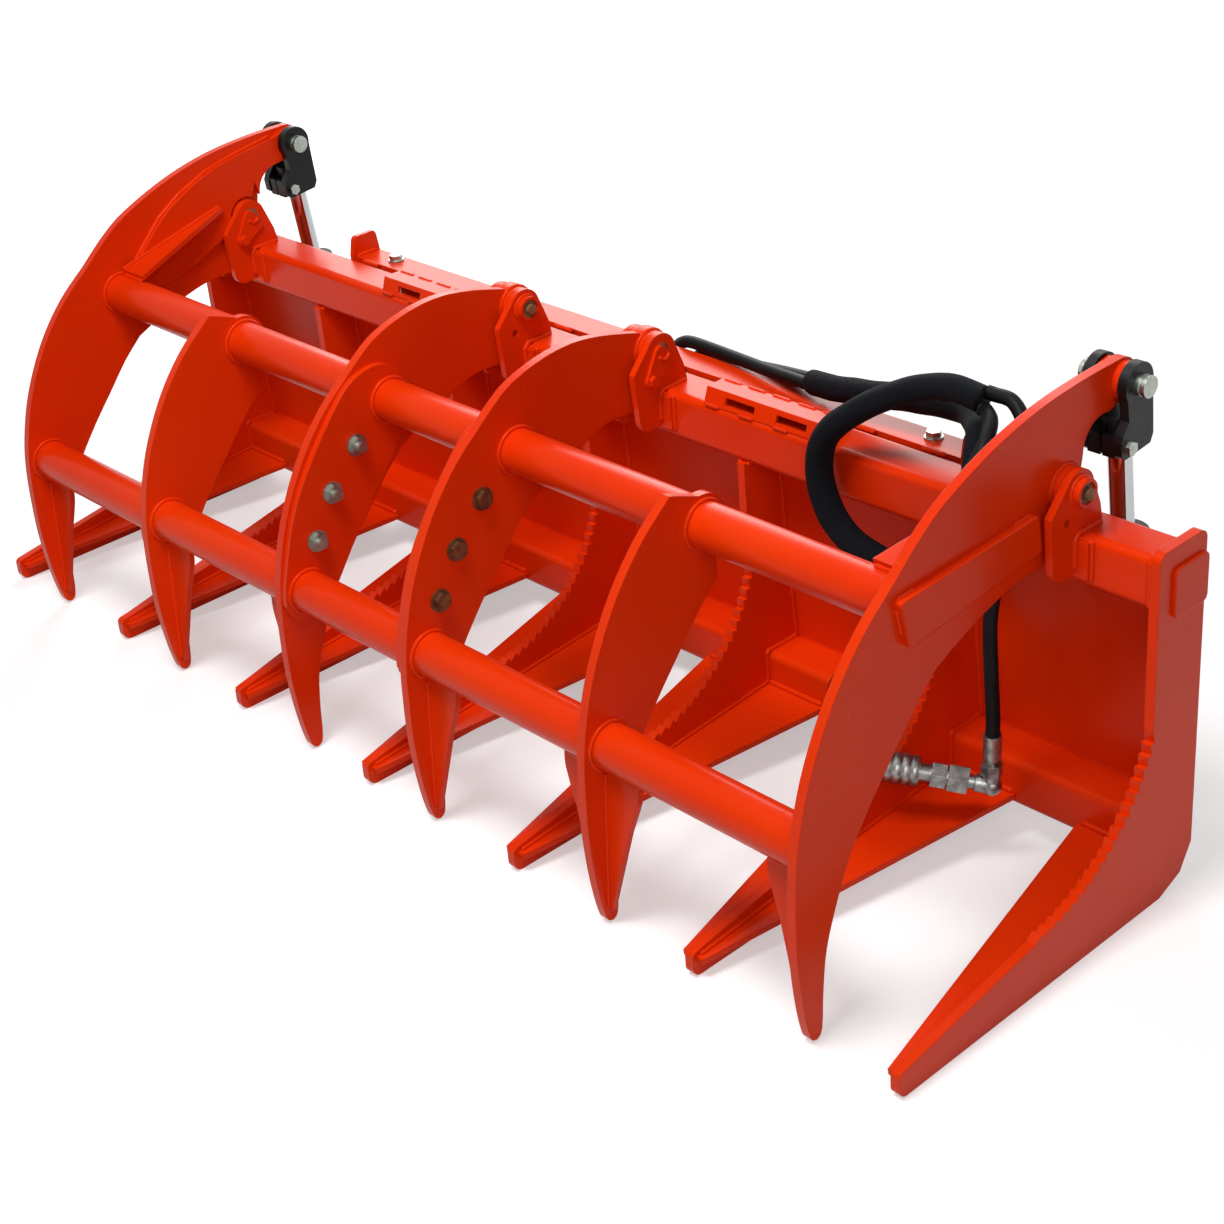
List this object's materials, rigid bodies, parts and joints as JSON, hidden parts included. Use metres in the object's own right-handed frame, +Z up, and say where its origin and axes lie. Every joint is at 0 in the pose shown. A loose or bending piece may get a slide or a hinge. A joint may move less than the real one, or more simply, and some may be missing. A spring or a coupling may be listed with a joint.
{
  "type": "root rake grapple",
  "caption": "Welded root rake with toothed lower tines, a hinged grapple lid of curved tines on two pipes, lift cylinders, a quick-hitch plate at the back and coiled hydraulic hoses.",
  "frame": {"origin": "middle of the lower frame's back, on the ground plane", "axes": "+X along the width to the right of someone facing the tines from the front, +Y back towards the machine, +Z up"},
  "size_m": [1.829, 0.6268, 0.618],
  "materials": {
    "paint": "gloss powder coat",
    "zinc": "zinc plated",
    "worn_steel": "lightly rusted",
    "hose_rubber": "satin black",
    "woven_sleeve": "woven nylon",
    "coupler_steel": "machined",
    "chrome_rod": "polished",
    "black_iron": "black painted",
    "black_paint": "gloss black"
  },
  "bodies": {
    "frame": {"top_tube": "paint", "cross_beam": "paint", "back_sheet": "paint", "end_plate_left": "paint", "end_plate_right": "paint", "lower_tine_1": "paint", "lower_tine_2": "paint", "lower_tine_3": "paint", "lower_tine_4": "paint", "lower_tine_5": "paint", "sole_plates": "paint", "pivot_bracket_1": "paint", "pivot_bracket_2": "paint", "pivot_bracket_3": "paint", "pivot_bracket_4": "paint", "pivot_pins": "worn_steel", "pin_keepers": "paint", "hitch_plate": "paint", "hitch_ears": "paint", "hitch_bolts": "zinc", "hose_guides": "paint", "cylinder_lugs": "paint", "base_pins": "zinc", "hose_block": "coupler_steel", "hose_feed": "hose_rubber", "hose_sleeve": "woven_sleeve", "hose_left": "hose_rubber", "hose_right": "hose_rubber", "hose_elbows": "coupler_steel", "coupler_male": "coupler_steel", "coupler_female": "coupler_steel"},
    "lid": {"upper_tine_1": "paint", "upper_tine_2": "paint", "upper_tine_3": "paint", "upper_tine_4": "paint", "upper_tine_5": "paint", "upper_tine_6": "paint", "upper_pipe_left": "paint", "upper_pipe_centre": "paint", "upper_pipe_right": "paint", "lower_pipe_left": "paint", "lower_pipe_centre": "paint", "lower_pipe_right": "paint", "tip_gussets": "paint", "arm_doubler_left": "paint", "arm_doubler_right": "paint", "arm_braces": "paint", "joint_plates": "paint", "joint_bolts": "zinc", "pivot_hubs": "paint", "blank_plate": "paint"},
    "rod_left": {"rod_left": "chrome_rod", "clevis_left": "black_iron", "rod_pin_left": "zinc"},
    "barrel_left": {"barrel_left": "black_paint"},
    "rod_right": {"rod_right": "chrome_rod", "clevis_right": "black_iron", "rod_pin_right": "zinc"},
    "barrel_right": {"barrel_right": "black_paint"}
  },
  "joints": [
    {"name": "lid_pivot", "type": "hinge", "parent": "frame", "child": "lid", "pos_m": [0, -0.082, 0.503], "axis": [-1, 0, 0], "range_deg": [0, 45]},
    {"name": "rod_pivot_left", "type": "hinge", "parent": "lid", "child": "rod_left", "pos_m": [-0.78, 0.018, 0.593], "axis": [1, 0, 0], "range_deg": [0, 40.14]},
    {"name": "stroke_left", "type": "slide", "parent": "rod_left", "child": "barrel_left", "axis": [0, -0.0967, 0.9953], "range_m": [0, 0.09755]},
    {"name": "rod_pivot_right", "type": "hinge", "parent": "lid", "child": "rod_right", "pos_m": [0.78, 0.018, 0.593], "axis": [1, 0, 0], "range_deg": [0, 40.14]},
    {"name": "stroke_right", "type": "slide", "parent": "rod_right", "child": "barrel_right", "axis": [0, -0.0967, 0.9953], "range_m": [0, 0.09755]}
  ],
  "couplings": [
    {"joint": "rod_pivot_left", "follows": "lid_pivot", "ratio": 0.892},
    {"joint": "stroke_left", "follows": "lid_pivot", "m_per_rad": 0.1242},
    {"joint": "rod_pivot_right", "follows": "lid_pivot", "ratio": 0.892},
    {"joint": "stroke_right", "follows": "lid_pivot", "m_per_rad": 0.1242}
  ]
}
